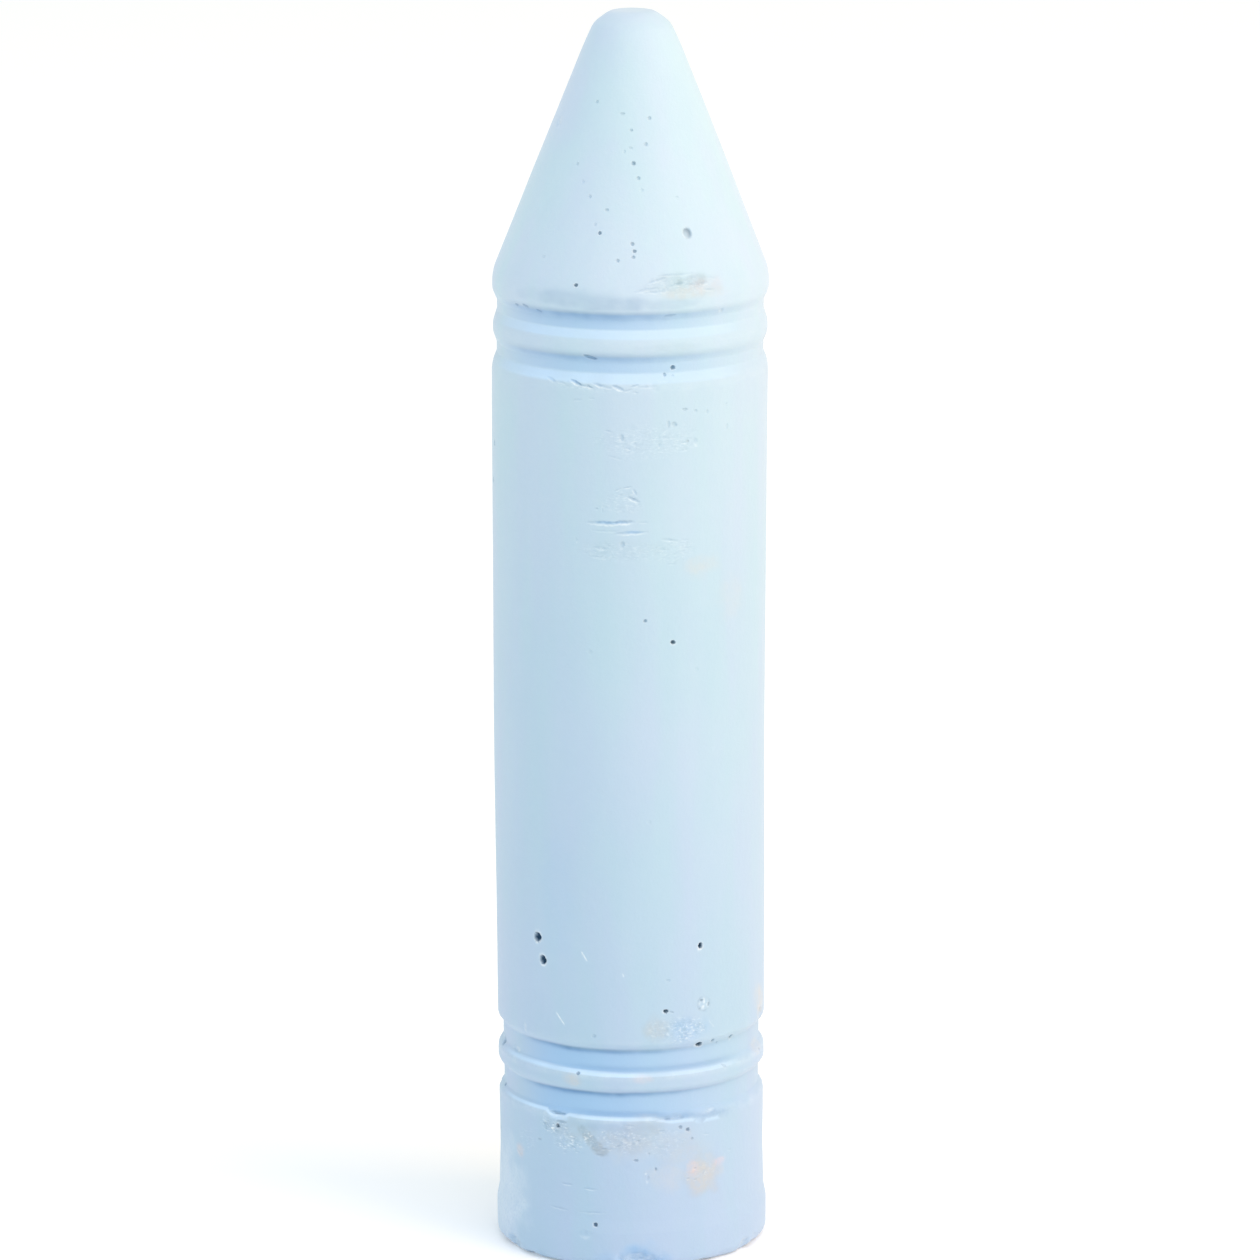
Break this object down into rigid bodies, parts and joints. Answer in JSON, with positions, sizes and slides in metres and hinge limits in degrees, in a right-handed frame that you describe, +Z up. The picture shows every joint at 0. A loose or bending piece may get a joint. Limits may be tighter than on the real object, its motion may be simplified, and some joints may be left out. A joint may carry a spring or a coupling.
{
  "type": "chalk stick",
  "caption": "Thick stick of pavement chalk with a blunt conical tip, grooved rings at its neck and foot, and a flat foot to stand on.",
  "frame": {"origin": "middle of the flat foot that the stick stands on", "axes": "+Z up along the stick's axis towards its tip; -Y is the side with the most wear"},
  "size_m": [0.025, 0.025, 0.114],
  "materials": {
    "chalk": "matte, cast, dusty"
  },
  "bodies": {
    "root": {"chalk_stick": "chalk"}
  },
  "joints": []
}
